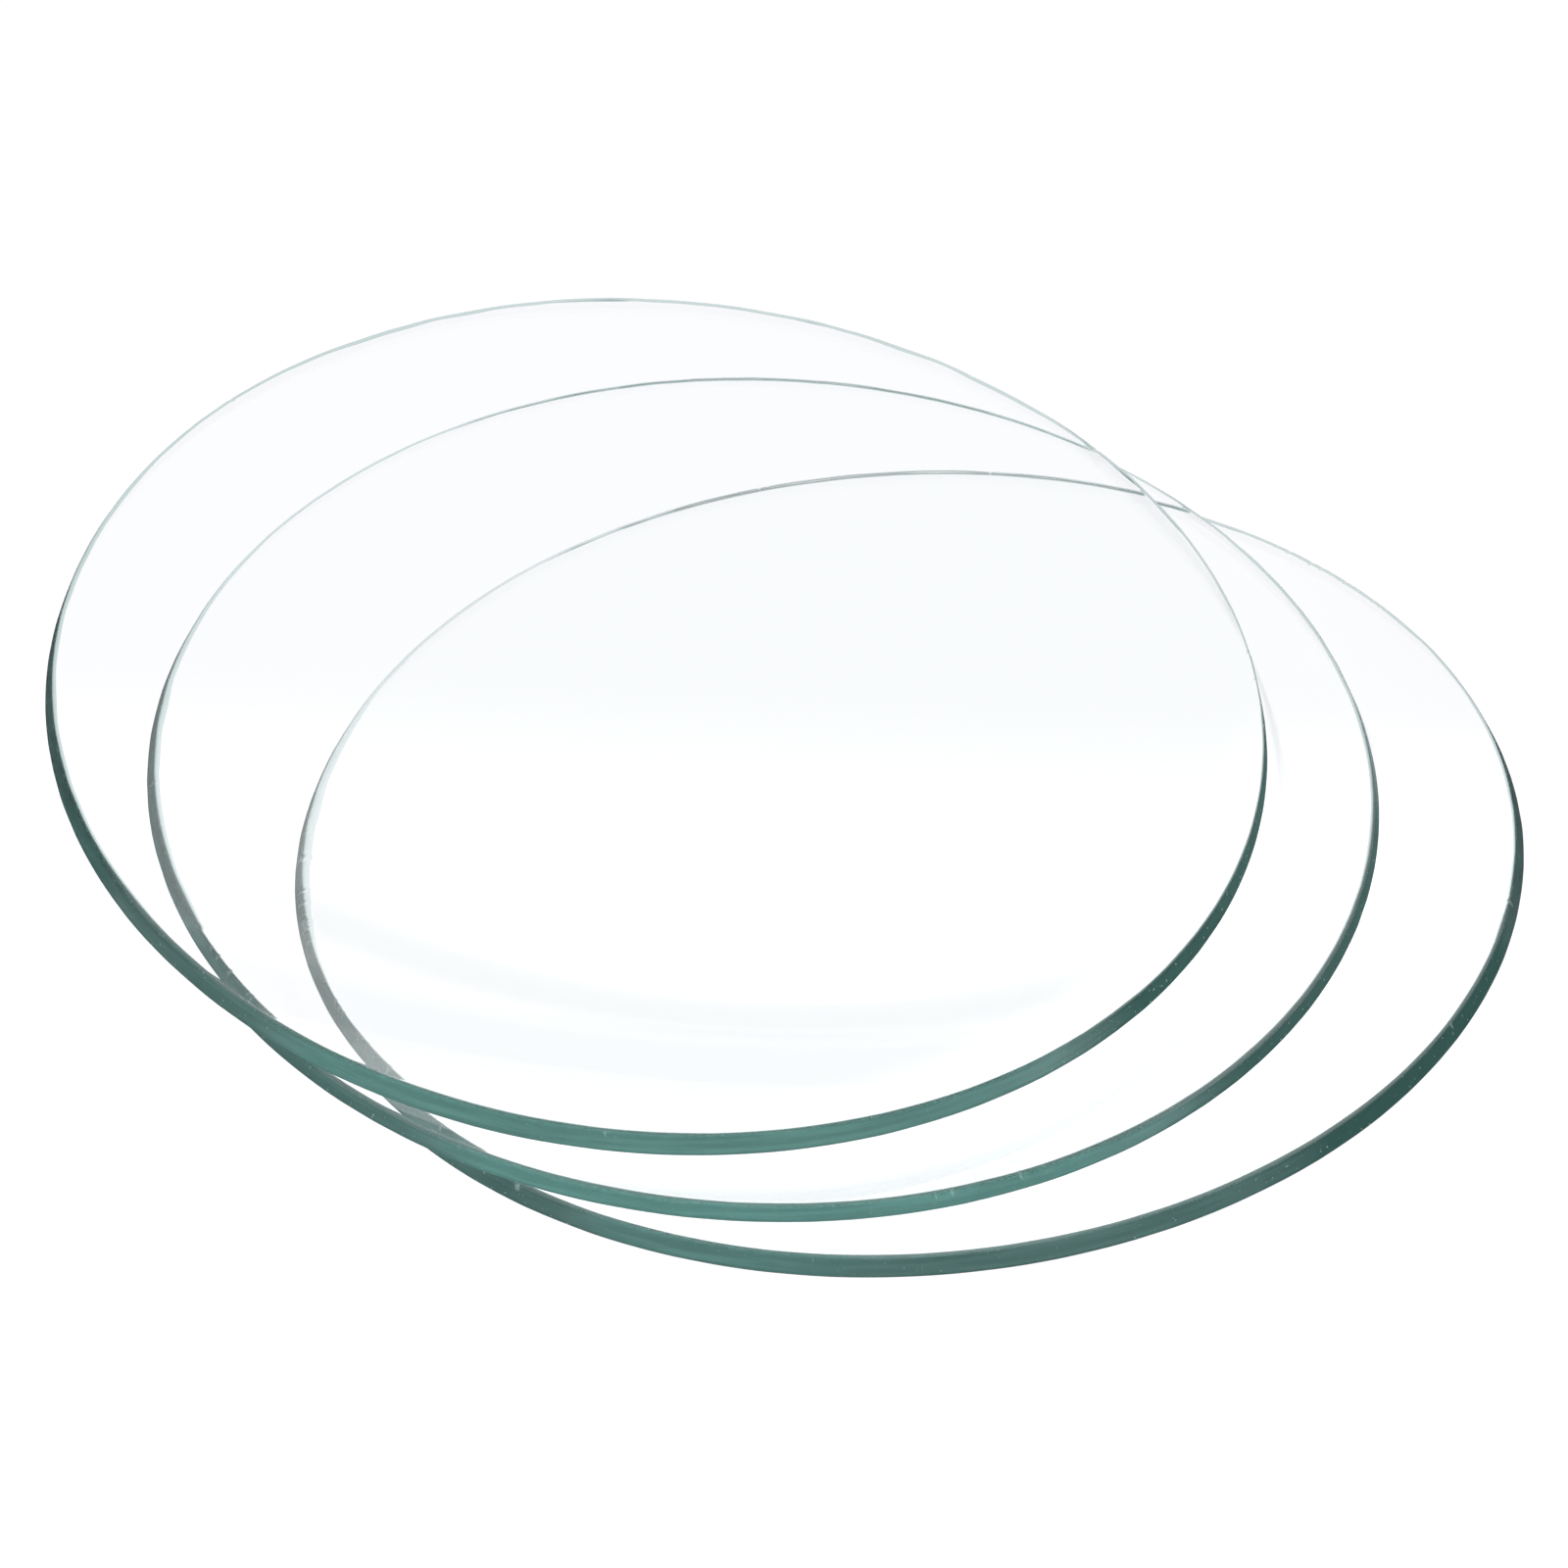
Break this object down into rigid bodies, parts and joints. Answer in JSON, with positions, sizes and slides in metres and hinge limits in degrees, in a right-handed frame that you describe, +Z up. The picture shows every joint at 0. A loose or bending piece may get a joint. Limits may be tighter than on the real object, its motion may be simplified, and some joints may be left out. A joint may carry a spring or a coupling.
{
  "type": "watch glass",
  "caption": "Shallow round watch glasses of clear sheet glass with ground edges, nested hollow side up and fanned out. Each lifts off to cover a beaker or hold a sample.",
  "frame": {"origin": "the point of the bench that the bottom glass's rounded underside touches, under the nest's centre of mass", "axes": "+Z up, +X along the fan towards the side where the bottom glass shows, so that the glasses step towards -X as the nest rises"},
  "size_m": [0.1223, 0.1005, 0.0207],
  "materials": {
    "clear_glass": "polished clear soda-lime sheet with a green tint through its edge, edge ground fine and bevelled"
  },
  "bodies": {
    "bottom": {"bottom_glass": "clear_glass"},
    "middle": {"middle_glass": "clear_glass"},
    "top": {"top_glass": "clear_glass"}
  },
  "joints": [
    {"name": "middle_lift", "type": "slide", "parent": "bottom", "child": "middle", "axis": [0, 0, 1], "range_m": [0, 0.04]},
    {"name": "top_lift", "type": "slide", "parent": "middle", "child": "top", "axis": [0, 0, 1], "range_m": [0, 0.04]}
  ]
}
